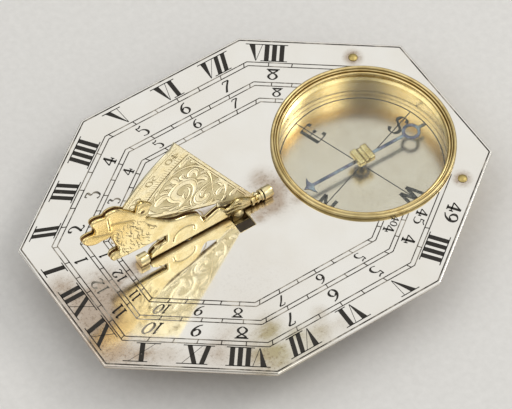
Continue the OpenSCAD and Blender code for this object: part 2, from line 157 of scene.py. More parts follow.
class Nodes:
    """A node tree being built, by calls that add a node and return its output."""

    def __init__(self, tree):
        self.nodes = tree.nodes
        self.links = tree.links

    def feed(self, socket, value):
        """A link into the socket from another node's output, or the socket's own value."""
        if isinstance(value, bpy.types.NodeSocket):
            self.links.new(value, socket)
        else:
            socket.default_value = (*value, 1) if socket.type == "RGBA" else value

    def add(self, kind, inputs, **settings):
        node = self.nodes.new("ShaderNode" + kind)
        for key, value in settings.items():
            setattr(node, key, value)
        for key, value in inputs.items():
            self.feed(node.inputs[key], value)
        return node

    def ramp(self, value, *stops):
        node = self.add("ValToRGB", {0: value})
        elements = node.color_ramp.elements
        while len(elements) < len(stops):
            elements.new(0.5)
        for element, (at, colour) in zip(elements, stops):
            element.position = at
            element.color = (*colour, 1)
        return node.outputs[0]

    def mix(self, share, a, b):
        """The colour a, with this share of it replaced by b."""
        return self.add("Mix", {0: share, 6: a, 7: b}, data_type="RGBA").outputs[2]

    def math(self, how, a, b=0.0):
        return self.add("Math", {0: a, 1: b}, operation=how).outputs[0]

    def plus(self, a, b):
        return self.math("ADD", a, b)

    def times(self, a, b):
        return self.math("MULTIPLY", a, b)

    def clamped(self, value, low, high):
        """The value from low to high, as 0 to 1, with soft ends."""
        return self.add("MapRange", {"Value": value, "From Min": low, "From Max": high},
                        interpolation_type="SMOOTHSTEP").outputs[0]


class Shader(Nodes):
    """A material being built on the Principled shader."""

    def __init__(self, name):
        self.material = bpy.data.materials.new(name)
        self.material.use_nodes = True
        super().__init__(self.material.node_tree)
        self.surface = self.nodes["Principled BSDF"]
        self.place = self.nodes.new("ShaderNodeTexCoord").outputs["Object"]

    def noise(self, size, detail=3, rough=0.55, stretch=(1, 1, 1), distort=0):
        """Noise whose lumps are about size millimetres across."""
        scaled = self.add("Mapping", {"Vector": self.place, "Scale": stretch})
        node = self.add("TexNoise", {
            "Vector": scaled.outputs[0], "Scale": 1 / (size * MM), "Detail": detail,
            "Roughness": rough, "Distortion": distort})
        return node.outputs["Fac"]

    def axes(self):
        return self.add("SeparateXYZ", {0: self.place}).outputs

    def near(self, at, radius):
        """1 at a point of the frame, and 0 from radius away."""
        gap = self.add("VectorMath", {0: self.place, 1: Vector(at) * MM}, operation="DISTANCE")
        return self.clamped(gap.outputs["Value"], radius * MM, 0)

    def bump(self, height, depth):
        """Bumps up to depth millimetres deep."""
        node = self.add("Bump", {"Height": height, "Distance": depth * MM, "Strength": 1.0})
        self.set(Normal=node.outputs[0])

    def crevice(self, reach):
        """1 in the open, falling toward 0 where walls within reach shut the light out."""
        return self.add("AmbientOcclusion", {"Distance": reach * MM}, samples=6).outputs["AO"]

    def set(self, **values):
        for key, value in values.items():
            self.feed(self.surface.inputs[key.replace("_", " ")], value)


def floor_paper():
    s = Shader("floor_paper")
    grain = s.noise(1.2, 4)
    s.set(Base_Color=s.ramp(grain, (0.3, (0.72, 0.71, 0.69)), (0.7, (0.77, 0.76, 0.74))), Roughness=0.9)
    s.bump(grain, 0.02)
    return s.material


# Tarnished places of the plate, and a darkened strip east of the gnomon: X, Y, radius and strength.
TARNISH_AND_DARKENING = [
    (-11.5, 36, 5.5, 0.9), (-14, 31, 4, 0.5), (-17.5, 28.5, 4.5, 0.5), (-21, 21.5, 4, 0.6),
    (-27, 14.2, 3.6, 1.0), (-22.6, 13, 3, 0.8), (-18.8, 18.5, 3.5, 0.5), (-27.5, 7.5, 4, 0.4),
    (-3, 35, 5, 0.8), (3.5, 36, 4, 0.5), (-1.5, 29, 5.5, 0.8), (-0.6, 24.5, 3.6, 0.9),
    (-1.6, -1.5, 3.2, 0.9), (0.4, -4.2, 3, 0.55), (-2.6, 2.2, 2.4, 0.5), (3.4, -2.6, 2.6, 0.5),
    (-3.6, -5.6, 1.6, 0.5), (-7, 33, 5, 0.7), (-8, 37, 4, 0.7), (-15.5, 33, 4, 0.7), (-24.5, 17, 3, 0.6),
    (-2, 35, 8.5, 0.8), (0.5, 30, 5, 0.7), (3, 37, 3.5, 0.6), (-21.5, 12, 3.6, 0.7),
    (-27.5, 18, 3.5, 0.6), (-1.8, -1.5, 3.6, 0.5), (3.4, -3.2, 3.4, 0.4), (-2.5, 1.5, 2.6, 0.8),
    (-26.8, 5, 2.6, 0.5), (0.5, -3, 6, 0.4), (-27.5, 14, 5.5, 0.5), (-22, 15, 4.5, 0.5),
    # The spots from X 1.4 to 4.6 and Y 5.5 to 18.5 darken a strip of the plate just east of the gnomon.
    (1.8, 8.5, 3, 1.3), (3.0, 12, 3.4, 1.3), (4.2, 15.5, 3.6, 1.3), (4.6, 18.5, 3.4, 1.2),
    (1.4, 5.5, 2.6, 1.0), (-25, 9.5, 2.4, 0.6), (-24, 4, 2.4, 0.55), (-27.6, 2, 2.6, 0.4),
]
# A thin even film that lies under them.
FILM = [(-13, 11, 13, 0.13), (-29, 9, 8, 0.3), (-27, 18, 8, 0.22), (-9, 41, 17, 0.45),
        (-22, 24, 7, 0.3), (-0.5, -2, 7, 0.4), (-4, 31, 7, 0.3)]
RIVET_SPOTS = [(-15.16, -31.1, 2.3, 1.9), (15.74, -30.13, 2.3, 1.9)]
STAIN = (0.54, 0.45, 0.365)
OLIVE_STAIN = (0.5, 0.44, 0.26)
OLIVE_AT, OLIVE_REACH = (-26, 11), 13
# The darkest brown: deep tarnish specks, and the painted shade under the foot.
DEEP_STAIN_AND_SHADE = (0.2, 0.135, 0.08)
# Painted shade under the gnomon's foot: half its width where it is thick and where it ends.
FOOT_SHADE = (0.7, 1.25)
FOOT_SHADE_SHARE = 0.62
# A fainter band round it, stain and painted shade: half its width, and where along Y both bands start, end
# and fade.
FOOT_STAIN_AND_SHADE = 1.7
FOOT_BANDS_FROM, FOOT_BANDS_TO, FOOT_BANDS_FADE = -2, 23, 2


def silver():
    """Polished silver with clouds and specks of tarnish, a darker underside, painted shade under the gnomon's
    foot, and fine scratches.
    """
    s = Shader("polished_silver")

    def spread(spots, onto):
        for at_x, at_y, radius, strength in spots:
            onto = s.plus(onto, s.times(s.near((at_x, at_y, TOP), radius), strength))
        return onto

    x, y, z = s.axes()
    # A fainter band along the foot, stain and painted shade, is added to the tarnish.
    beside = s.clamped(s.math("ABSOLUTE", x), FOOT_STAIN_AND_SHADE * MM, 0)
    along = s.times(s.clamped(y, (FOOT_BANDS_FROM - FOOT_BANDS_FADE) * MM, FOOT_BANDS_FROM * MM),
                    s.clamped(y, (FOOT_BANDS_TO + FOOT_BANDS_FADE) * MM, FOOT_BANDS_TO * MM))
    # The underside darkens, partly tarnish and partly painted shade, so the space under the plate stays dark.
    underside = s.clamped(z, (TOP - 0.4) * MM, (TOP - 0.6) * MM)
    total = s.plus(spread(TARNISH_AND_DARKENING + RIVET_SPOTS, 0.0), s.times(s.times(beside, along), 0.6))
    total = s.plus(total, s.times(underside, 2.0))
    cloud = s.clamped(s.noise(2.4, 6, 0.68, stretch=(1, 0.45, 1)), 0.34, 0.66)
    specks = s.clamped(s.noise(0.5, 4, 0.75), 0.5, 0.68)
    film = s.times(total, s.plus(s.times(cloud, 0.55), 0.45))
    film = s.math("MINIMUM", spread(FILM, film), 1.0)
    haze = s.ramp(s.noise(9), (0.35, (0.88, 0.85, 0.79)), (0.65, (0.91, 0.89, 0.845)))
    stained = s.mix(film, haze, s.mix(s.near((*OLIVE_AT, TOP), OLIVE_REACH), STAIN, OLIVE_STAIN))
    colour = s.mix(s.times(film, s.times(specks, 0.55)), stained, DEEP_STAIN_AND_SHADE)
    # Painted shade: a dark band on the plate under the gnomon's foot.
    under = s.clamped(s.math("ABSOLUTE", x), FOOT_SHADE[1] * MM, FOOT_SHADE[0] * MM)
    colour = s.mix(s.times(s.times(under, along), FOOT_SHADE_SHARE), colour, DEEP_STAIN_AND_SHADE)
    scratches = s.noise(0.25, 2, 0.5, stretch=(0.06, 1, 1), distort=0.4)
    rough = s.plus(s.times(film, 0.14), s.times(scratches, 0.07))
    s.set(Base_Color=colour, Metallic=1.0, Roughness=s.plus(rough, 0.03))
    s.bump(scratches, 0.0005)
    return s.material


# Cast ribs, this far apart and deep, which climb toward noon by this slope.
RIB = 0.85
RIB_DEPTH = 0.035
RIB_SLOPE = 0.35
# The brown that corners darken to: grime and painted shade.
CORNER_GRIME_AND_SHADE = (0.26, 0.18, 0.065)
# The dark brown of painted shade on parts that hang below the plate, in the slot.
BELOW_PLATE_SHADE = (0.1, 0.075, 0.04)


def gilt(name, light, deep, rough, grime_and_shade_reach=0.5, relief=0.004, ribbed_at=None, warm_at=None,
         shaded_below=None):
    """Gilding with worn clouds and corners darkened by grime and painted shade; ribbed or warm at a place, or
    darkened below a height by painted shade.
    """
    s = Shader(name)
    colour = s.ramp(s.noise(2.2, 5, 0.6), (0.34, deep), (0.6, light))
    # Corners where walls within reach shut the light out darken: grime and painted shade.
    if grime_and_shade_reach:
        colour = s.mix(s.clamped(s.crevice(grime_and_shade_reach), 0.3, 0.85), CORNER_GRIME_AND_SHADE, colour)
    # Painted shade: darker below a height, in the shade of the slot.
    if shaded_below is not None:
        in_slot_shade = s.clamped(s.axes()["Z"], (shaded_below + 0.2) * MM, (shaded_below - 0.5) * MM)
        colour = s.mix(s.times(in_slot_shade, 0.85), colour, BELOW_PLATE_SHADE)
    wear = s.noise(0.3, 3, 0.6)
    shine = s.plus(s.times(wear, 0.2), rough)
    waves = s.plus(s.times(s.noise(2.5, 2), 5.0), wear)
    if warm_at:
        colour = s.mix(s.times(s.near(*warm_at), 0.8), colour, WARM)
    if ribbed_at:
        here = s.clamped(s.near(*ribbed_at), 0.0, 0.35)
        shine = s.plus(shine, s.times(here, 0.08))
        _, y, z = s.axes()
        climb = s.math("SUBTRACT", z, s.times(y, RIB_SLOPE))
        turn = s.plus(s.times(climb, tau / (RIB * MM)), s.times(s.noise(1.6, 2), 7))
        waves = s.plus(waves, s.times(s.times(s.math("SINE", turn), here), RIB_DEPTH / relief))
    s.set(Base_Color=colour, Metallic=1.0, Roughness=shine)
    s.bump(waves, relief)
    return s.material


def wax(name, dark, worn, wear, size=1.4, faded=()):
    """Black filling of the engraving, greyer where it has worn away."""
    s = Shader(name)
    lost = s.clamped(s.noise(size, 5, 0.7), 0.75 - wear, 0.95 - wear)
    for at, radius in faded:
        lost = s.math("MAXIMUM", lost, s.times(s.near((*at, TOP), radius), 1.6))
    s.set(Base_Color=s.mix(lost, dark, worn), Roughness=0.55, Specular_IOR_Level=0.25)
    s.bump(s.noise(0.2), 0.01)
    return s.material


def blued_steel():
    s = Shader("blued_steel")
    tint = s.ramp(s.noise(2.5), (0.38, (0.08, 0.12, 0.18)), (0.5, (0.2, 0.2, 0.29)),
                  (0.62, (0.34, 0.43, 0.5)))
    s.set(Base_Color=tint, Metallic=1.0, Roughness=s.plus(s.times(s.noise(0.4), 0.2), 0.14))
    return s.material


def silvered_card():
    s = Shader("silvered_card")
    colour = s.ramp(s.noise(5, 5, 0.6), (0.35, (0.72, 0.66, 0.55)), (0.65, (0.79, 0.735, 0.635)))
    s.set(Base_Color=colour, Metallic=1.0, Roughness=s.plus(s.times(s.noise(0.5), 0.1), 0.18))
    s.bump(s.noise(0.12, 2), 0.0015)
    return s.material


def clear_glass():
    """Thin clear glass: a sheen by angle over what lies below, with faint dust."""
    s = Shader("clear_glass")

    def over(share, below, above):
        return s.add("MixShader", {0: share, 1: below, 2: above}).outputs[0]

    facing = s.add("LayerWeight", {"Blend": 0.5}).outputs["Facing"]
    sheen = s.plus(s.times(s.math("POWER", facing, 5.0), 0.9), 0.035)
    through = s.add("BsdfTransparent", {"Color": (0.97, 0.975, 0.96)}).outputs[0]
    gloss = s.add("BsdfGlossy", {"Color": (1, 1, 1), "Roughness": 0.03}).outputs[0]
    film = s.add("BsdfDiffuse", {"Color": (0.75, 0.74, 0.68)}).outputs[0]
    dust = s.clamped(s.noise(0.25, 4, 0.7), 0.55, 0.75)
    middle = s.near((*COMPASS, TOP - 0.3), 16)
    shown = s.math("SUBTRACT", 0.45, s.times(middle, 0.43))
    pane = over(s.times(dust, shown), over(sheen, through, gloss), film)
    s.feed(s.nodes["Material Output"].inputs["Surface"], pane)
    return s.material


WARM = (0.87, 0.61, 0.2)
GILT_LIGHT = (0.93, 0.8, 0.46)
GILT_DEEP = (0.82, 0.65, 0.3)
MATTED_LIGHT = (0.78, 0.7, 0.45)
MATTED_DEEP = (0.56, 0.48, 0.27)
MATERIALS = {
    "silver_plate": silver(),
    "gilt_brass": gilt("gilt_brass", GILT_LIGHT, GILT_DEEP, 0.1),
    "silvered_card": silvered_card(),
    "blued_steel": blued_steel(),
    "pivot_steel": blued_steel(),
    "clear_glass": clear_glass(),
}
MATTED = gilt("matted_gilt", MATTED_LIGHT, MATTED_DEEP, 0.34)
POLISHED = gilt("polished_gilt", (0.96, 0.88, 0.62), (0.92, 0.8, 0.49), 0.1, 0.1)
# Rough gilding for the cheeks' inner faces; its darker brown is painted shade between the cheeks and the
# sector.
SHADED_DULL = gilt("dull_shaded_gilt", (0.64, 0.43, 0.2), (0.42, 0.26, 0.1), 0.5, None)
WELL = gilt("well_gilt", (0.94, 0.77, 0.41), (0.87, 0.67, 0.3), 0.12, None)
WIRE = gilt("wire_gilt", (0.8, 0.64, 0.32), (0.66, 0.48, 0.2), 0.1, None)
TURNED = gilt("turned_gilt", (0.79, 0.64, 0.32), (0.6, 0.45, 0.19), 0.22, 0.4)
CAP = gilt("cap_gilt", (0.88, 0.77, 0.42), (0.6, 0.48, 0.2), 0.16, 0.9)
CAST = gilt("cast_gilt", GILT_LIGHT, GILT_DEEP, 0.1, 0.28, ribbed_at=((0, 3.6, TOP + 1.8), 3.6),
            warm_at=((0, 29.5, TOP + 15), 9))
# The foot's lug darkens below the plate's top: painted shade in the slot.
WORN = gilt("worn_gilt", GILT_LIGHT, (0.74, 0.54, 0.22), 0.26, 0.8, 0.022, shaded_below=TOP - 0.3)
RIVET = gilt("rivet_gilt", (0.62, 0.5, 0.2), (0.46, 0.34, 0.12), 0.38)
GRIME_AND_SHADE = wax("grime", (0.17, 0.105, 0.035), (0.47, 0.35, 0.15), 0.35, 0.8)
FEATHER_GRIME = wax("feather_grime", (0.27, 0.18, 0.06), (0.66, 0.53, 0.27), 0.5, 1.1)
SCALE_GRIME = wax("scale_grime", (0.3, 0.2, 0.07), (0.68, 0.56, 0.3), 0.45, 0.9)
FADED = [((-0.4, 31), 2.6), ((-11.5, 29.4), 2.6), ((-9.4, 26), 1.6), ((15.9, 22.6), 1.6), ((13.2, 19.6), 1.2)]
NUMERAL_WAX = wax("numeral_wax", (0.028, 0.025, 0.021), (0.3, 0.27, 0.22), 0.14, 0.9, FADED)
LINE_WAX = wax("line_wax", (0.042, 0.034, 0.026), (0.42, 0.38, 0.32), 0.3, 4)
CARD_WAX = wax("card_wax", (0.05, 0.055, 0.05), (0.11, 0.115, 0.1), 0.25)

SLOT_OF = {part["node"]: part["material_slot"] for part in frame["record"]["subparts"]}
BODY_OF = {node: body for body, nodes in frame["record"]["behaviour"]["bodies"].items() for node in nodes}


def piece(name, mesh, material, body, shade=30):
    """A new object at the origin that rides on a body, from a bmesh in millimetres."""
    bmesh.ops.scale(mesh, vec=(MM, MM, MM), verts=mesh.verts)
    data = bpy.data.meshes.new(name)
    mesh.to_mesh(data)
    mesh.free()
    obj = bpy.data.objects.new(name, data)
    bpy.context.scene.collection.objects.link(obj)
    data.materials.append(material)
    if shade:
        data.shade_smooth()
        data.set_sharp_from_angle(angle=radians(shade))
    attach(obj, body)
    return obj


def node_mesh(node):
    """A copy of a node's mesh in millimetres, welded, with its flat faces whole."""
    mesh = bmesh.new()
    mesh.from_mesh(frame["nodes"][node].data)
    bmesh.ops.scale(mesh, vec=(1 / MM, 1 / MM, 1 / MM), verts=mesh.verts)
    bmesh.ops.remove_doubles(mesh, verts=mesh.verts, dist=0.0005)
    bmesh.ops.dissolve_limit(mesh, angle_limit=radians(1.0), verts=mesh.verts, edges=mesh.edges)
    return mesh


# Finishes of nodes that differ from their slot's own.
FINISH = {"compass_case": WELL, "glass_clip_ring": WIRE, "case_rivets": RIVET, "latitude_sector": POLISHED,
          "gnomon_foot": WORN, "needle_cap": CAP}


def finish_of(node):
    return FINISH.get(node, MATERIALS[SLOT_OF[node]])


# Nodes with steps so small that a bevel must stop short of them.
CLOSE_STEPS = ("gnomon_foot",)
SHARP = radians(35)


def eased(node, width):
    """A node's own shape with its sharp edges rounded off, in the node's place."""
    mesh = node_mesh(node)
    sharp = [e for e in mesh.edges if e.is_manifold and e.calc_face_angle(0) > SHARP]
    bmesh.ops.bevel(mesh, geom=sharp, offset=width, segments=2, profile=0.5,
                    affect="EDGES", clamp_overlap=node in CLOSE_STEPS)
    obj = piece(f"{node}_finished", mesh, finish_of(node), BODY_OF[node])
    flat = obj.modifiers.new("flat_faces", "WEIGHTED_NORMAL")
    flat.keep_sharp = True
    flat.weight = 90
    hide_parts(node)


# Engraving is drawn in a plane: place(u, v, h) gives the point at u, v and h above the surface.
def on_plate(u, v, h):
    return Vector((u, v, TOP + h))


def on_card(u, v, h):
    return Vector((COMPASS.x + u, COMPASS.y + v, CARD_TOP + h))


def placing(surface, centre, across, up):
    """A placing on a surface, with its own centre and axes."""
    def place(u, v, h):
        p = centre + across * u + up * v
        return surface(p.x, p.y, h)

    return place


SINK = -0.05
PROUD = 0.012


def flat_top(height, sink=SINK):
    """The section of a stroke whose top lies this far over its surface."""
    return (-1, sink), (-1, height), (1, height), (1, sink)


INLAY = flat_top(PROUD)


def left_of(way):
    return Vector((-way.y, way.x))


def toward(angle):
    """The unit vector this many degrees anticlockwise of X."""
    return Vector((cos(radians(angle)), sin(radians(angle))))


def heading(way):
    return degrees(atan2(way.y, way.x))


def around(items):
    """Each item of a closed row with the one after it."""
    return zip(items, items[1:] + items[:1])


def wall(mesh, row, other):
    """Faces between two closed rows of points."""
    for (a, b), (c, d) in around(list(zip(row, other))):
        mesh.faces.new((a, b, d, c))


def normals(points, closed=False):
    """Unit normals to the left of a line of flat points."""
    count = len(points)
    found = []
    for i in range(count):
        before = points[i - 1] if closed or i > 0 else points[i]
        after = points[(i + 1) % count] if closed or i < count - 1 else points[i]
        found.append(left_of((after - before).normalized()))
    return found


def sweep(mesh, points, half_widths, place, section=INLAY, closed=False):
    """A stroke along flat points, with a section of (side, height) pairs that goes up, over and down."""
    points = [Vector(p) for p in points]
    if not isinstance(half_widths, (list, tuple)):
        half_widths = [half_widths] * len(points)
    rows = []
    for point, normal, half in zip(points, normals(points, closed), half_widths):
        flat = [point - normal * side * half for side, _ in section]
        rows.append([mesh.verts.new(place(p.x, p.y, h)) for p, (_, h) in zip(flat, section)])
    for row, other in around(rows) if closed else zip(rows, rows[1:]):
        wall(mesh, row, other)
    if not closed:
        mesh.faces.new(rows[0])
        mesh.faces.new(rows[-1][::-1])


def slab(mesh, outline, place, low=SINK, high=PROUD):
    """A flat closed shape between two heights."""
    under = [mesh.verts.new(place(x, y, low)) for x, y in outline]
    over = [mesh.verts.new(place(x, y, high)) for x, y in outline]
    mesh.faces.new(over)
    mesh.faces.new(under[::-1])
    wall(mesh, over, under)


def smooth(points, steps):
    """A curve through the points."""
    points = [Vector(p) for p in points]
    last = len(points) - 1
    made = []
    for i in range(last):
        a, b, c, d = [points[min(max(i + k, 0), last)] for k in (-1, 0, 1, 2)]
        for k in range(steps):
            t = k / steps
            made.append(0.5 * (2 * b + (c - a) * t + (2 * a - 5 * b + 4 * c - d) * t * t
                               + (3 * b - a - 3 * c + d) * t ** 3))
    return made + [points[-1]]


def arc(centre, radius, start, end, steps):
    """Points on an arc, with its start and end in degrees."""
    return [Vector(centre) + toward(start + (end - start) * k / steps) * radius for k in range(steps + 1)]


def circle(centre, radius, steps):
    return arc(centre, radius, 0, 360, steps)[:-1]


def settle(mesh):
    bmesh.ops.recalc_face_normals(mesh, faces=mesh.faces)
    return mesh


def engraved(name, mesh, material, body="dial", shade=0):
    """A piece of engraving or ornament, with its faces turned outward."""
    piece(name, settle(mesh), material, body, shade)


def plate_sides():
    """The plate's eight sides, as unit normals and distances from the centre."""
    top = [p for p in points_of("dial_plate") if p.z > TOP - 0.001]
    side_y = max(p.y for p in top if p.x > PLATE_HIGH.x - 0.001)
    end_x = max(p.x for p in top if p.y > PLATE_HIGH.y - 0.001)
    slant = Vector((PLATE_HIGH.y - side_y, PLATE_HIGH.x - end_x)).normalized()
    sides = []
    for sign in (1, -1):
        sides += [(Vector((sign, 0)), PLATE_HIGH.x), (Vector((0, sign)), PLATE_HIGH.y)]
        for way in (slant, Vector((slant.x, -slant.y))):
            sides.append((way * sign, slant.dot((PLATE_HIGH.x, side_y))))
    return sorted(sides, key=lambda side: atan2(side[0].y, side[0].x))


SIDES = plate_sides()


def inset_corners(inset):
    """The corners of the plate's outline moved in by inset, anticlockwise."""
    found = []
    for (n, a), (m, b) in around(SIDES):
        a, b = a - inset, b - inset
        cross = n.x * m.y - n.y * m.x
        found.append(Vector(((a * m.y - b * n.y) / cross, (b * n.x - a * m.x) / cross)))
    return found


def hour_ray(latitude, hour):
    """Direction of the style's shadow, hour hours after noon."""
    turn = radians(15 * hour)
    angle = atan2(sin(radians(latitude)) * sin(turn), cos(turn))
    return Vector((sin(angle), cos(angle)))


def meet(ray, inset):
    """Where a ray from the centre meets the inset outline, and that side's normal."""
    hits = [((reach - inset) / n.dot(ray), n) for n, reach in SIDES if n.dot(ray) > 0.01]
    far, normal = min(hits, key=lambda hit: hit[0])
    return ray * far, normal


CLEAR_OF_BEZEL = BEZEL_R + 0.2


def outside_compass(point):
    return (point - COMPASS).length > CLEAR_OF_BEZEL


# Half widths of the lines.
HAIRLINE, BORDER_LINE = 0.092, 0.12
# How far in from the edge the border and each latitude's two rings lie, and how far south they go.
BORDER = 0.5
LATITUDES = (49, 45, 40)
RINGS = ((5.05, 5.85), (9.25, 10.0), (12.65, 13.4))
RINGS_END = COMPASS.y - 10
RING_STEPS = 60
LAST_HOUR = 8
# The engraver set every numeral this far anticlockwise of its line.
DRIFT = 0.55


def ring_line(mesh, inset, half_width):
    """One line round the plate, left out where the compass is."""
    for start, end in around(inset_corners(inset)):
        run = [start.lerp(end, k / RING_STEPS) for k in range(RING_STEPS + 1)]
        if inset > BORDER:
            run = [p for p in run if outside_compass(p) and p.y > RINGS_END]
        if len(run) > 1:
            sweep(mesh, [run[0], run[-1]], half_width, on_plate)


def hour_lines():
    mesh = bmesh.new()
    ring_line(mesh, BORDER, BORDER_LINE)
    for latitude, (outer, inner) in zip(LATITUDES, RINGS):
        ring_line(mesh, outer, HAIRLINE)
        ring_line(mesh, inner, HAIRLINE)
        for half_hour in range(-2 * LAST_HOUR - 1, 2 * LAST_HOUR + 2):
            ray = hour_ray(latitude, half_hour / 2)
            start, end = meet(ray, inner)[0], meet(ray, outer)[0]
            if outside_compass(start) and outside_compass(end):
                sweep(mesh, [start, end], HAIRLINE, on_plate)
    engraved("hour_lines", mesh, LINE_WAX)


# Roman numerals have thick strokes, hairlines, and a thin line across their tops and feet.
ROMAN = "XII I II III IIII V VI VII VIII IX X XI".split()
ROMAN_H = 3.5
ROMAN_INSET = 2.95
THICK = 0.82
THIN = 0.11
STROKE_GAP = 0.48
LETTER_GAP = 0.3
SERIF = 0.58
SERIF_H = 0.085
LETTER_W = {"I": THICK, "V": 2.45, "X": 2.8}


def bar(foot, head, width, head_width=None):
    """A straight stroke whose ends lie along the base line, given the middles of its foot and head."""
    a, b = width / 2, (head_width or width) / 2
    return [(foot[0] - a, foot[1]), (foot[0] + a, foot[1]), (head[0] + b, head[1]), (head[0] - b, head[1])]


def roman_letter(letter, x):
    """The outlines of one letter's strokes, from x on."""
    w, h = LETTER_W[letter], ROMAN_H
    if letter == "I":
        shapes = [bar((x + w / 2, 0), (x + w / 2, h), THICK)]
    elif letter == "V":
        foot = x + w * 0.55
        shapes = [bar((foot, 0), (x + 0.55, h), 0.14, 1.05), bar((foot + 0.04, 0), (x + w - THIN, h), THIN)]
    else:
        shapes = [bar((x + w - 0.45, 0), (x + 0.45, h), THICK), bar((x + 0.25, 0), (x + w - 0.3, h), THIN)]
    for y in (h,) if letter == "V" else (0, h):
        shapes.append(bar((x + w / 2, y - SERIF_H), (x + w / 2, y + SERIF_H), w + 2 * SERIF))
    return shapes


def roman_shapes(text):
    shapes, x = [], 0.0
    for letter, following in zip(text, text[1:] + " "):
        shapes += roman_letter(letter, x)
        x += LETTER_W[letter]
        if following != " ":
            x += STROKE_GAP if letter == following == "I" else LETTER_GAP
    return [[(px - x / 2, py - ROMAN_H / 2) for px, py in shape] for shape in shapes]


def standing(ray, inset, drift=0.0):
    """A placing for marks that stand on a side with their tops outward and lean along the ray."""
    centre, normal = meet(ray, inset)
    return placing(on_plate, centre + left_of(normal) * drift, -left_of(normal), ray / ray.dot(normal))


def roman_numerals():
    mesh = bmesh.new()
    for hour in range(-LAST_HOUR, LAST_HOUR + 1):
        place = standing(hour_ray(LATITUDES[0], hour), ROMAN_INSET, DRIFT)
        for shape in roman_shapes(ROMAN[hour % 12]):
            slab(mesh, shape, place)
    engraved("roman_numerals", mesh, NUMERAL_WAX)


# Old-style figures and letters, 100 high: their width, the strokes of a broad pen, and plain bars,
# each as the X and Y of its points in turn.
FIGURES = {
    "0": (66, [[33, 100, 5, 74, 5, 26, 33, 0, 61, 26, 61, 74, 33, 100]], []),
    "1": (32, [], [[13, 100, 13, 0], [19, 98, 19, 2], [0, 84, 14, 96], [0, 2, 32, 2]]),
    "2": (70, [[8, 72, 14, 92, 36, 100, 58, 86, 58, 64, 38, 38, 8, 10]], [[6, 8, 24, 14, 46, 4, 68, 16]]),
    "3": (64, [[50, 96, 30, 60], [30, 60, 54, 52, 60, 28, 42, 2, 20, 0, 4, 10]],
          [[6, 82, 10, 98, 50, 96]]),
    "4": (78, [[50, 0, 50, 100]], [[50, 98, 2, 34], [2, 34, 78, 34], [74, 20, 74, 50], [30, 2, 70, 2]]),
    "5": (68, [[10, 58, 36, 62, 60, 46, 60, 20, 36, 2, 4, 6]],
          [[16, 92, 12, 58], [16, 92, 36, 86, 64, 102]]),
    "6": (66, [[60, 100, 30, 86, 7, 54, 8, 20, 32, 0, 60, 16, 60, 42, 36, 60, 12, 44]], []),
    "7": (60, [[56, 94, 34, 50, 22, 0]], [[2, 80, 8, 97, 57, 95]]),
    "8": (70, [[0, 90, 24, 72, 58, 50, 66, 24, 35, 2, 4, 24, 12, 50, 46, 72, 70, 90]],
          [[-16, 100, 86, 100], [-6, 93, 76, 93]]),
    "9": (66, [[6, 0, 36, 14, 59, 46, 58, 80, 34, 100, 6, 84, 6, 58, 30, 40, 54, 56]], []),
    "N": (80, [[10, 0, 10, 100], [10, 100, 70, 0], [70, 0, 70, 100]], []),
    "E": (66, [[10, 0, 10, 100], [10, 100, 64, 100], [10, 52, 50, 52], [10, 0, 66, 0], [64, 100, 64, 84],
          [66, 0, 66, 18], [50, 44, 50, 60]], []),
    "S": (60, [[54, 80, 46, 98, 20, 98, 8, 74, 30, 54, 54, 30, 42, 2, 14, 2, 4, 22]], []),
    "W": (100, [[4, 100, 28, 0], [28, 0, 50, 80], [50, 80, 72, 0], [72, 0, 96, 100]], []),
}
PEN_THIN = 0.06
PEN_THICK = 0.2
FIGURE_BAR = 0.1
FIGURE_GAP = 0.16


def pairs(flat, units):
    """Points from their coordinates in turn, with this many units to 1."""
    return [(x / units, y / units) for x, y in zip(flat[::2], flat[1::2])]


def pen_widths(points):
    """Half the pen's width at each point: thick on upright strokes and thin on level ones."""
    found = []
    for i in range(len(points)):
        along = points[min(i + 1, len(points) - 1)] - points[max(i - 1, 0)]
        steep = abs(along.y) / max(along.length, 1e-6)
        found.append((PEN_THIN + (PEN_THICK - PEN_THIN) * steep ** 1.4) / 2)
    return found


def write(mesh, text, height, place, weight=1.0):
    """Figures or a letter in a row, centred on the placing's origin."""
    x = -(sum(FIGURES[c][0] for c in text) / 100 + FIGURE_GAP * (len(text) - 1)) / 2
    for c in text:
        width, pen, bars = FIGURES[c]
        for stroke in pen + bars:
            line = smooth([(px + x, py - 0.5) for px, py in pairs(stroke, 100)], 5)
            halves = pen_widths(line) if stroke in pen else [FIGURE_BAR / 2] * len(line)
            sweep(mesh, [p * height for p in line], [half * height * weight for half in halves], place)
        x += width / 100 + FIGURE_GAP


FIGURE_H = (2.2, 1.8)
# How far from the edge the two rows of figures stand.
BANDS = [(RINGS[0][1] + RINGS[1][0]) / 2, (RINGS[1][1] + RINGS[2][0]) / 2]
# The latitudes on the south-west side: how far along it and in from it, and their height.
SIDE_MARKS = [("49", -9.05, 2.45, 2.4), ("45", -6.35, BANDS[0] - 0.4, 1.9),
              ("40", -3.95, BANDS[1] - 0.4, 1.2)]


def figures():
    mesh = bmesh.new()
    for latitude, inset, height in zip(LATITUDES[1:], BANDS, FIGURE_H):
        for hour in range(-LAST_HOUR, LAST_HOUR + 1):
            write(mesh, str((hour - 1) % 12 + 1), height, standing(hour_ray(latitude, hour), inset))
    normal, reach = min(SIDES, key=lambda side: side[0].x + side[0].y)
    for text, along, inset, height in SIDE_MARKS:
        centre = normal * (reach - inset) - left_of(normal) * along
        write(mesh, text, height, placing(on_plate, centre, -left_of(normal), normal))
    engraved("arabic_figures", mesh, NUMERAL_WAX)


# The compass card: an engraved circle, a cross turned by the declination, and four letters.
CARD_CIRCLE_R = 14.1
CROSS_FROM = 1.0
DECLINATION = 19
LETTER_H = 3.7
LETTER_R = 10.5
LETTER_WEIGHT = 0.88


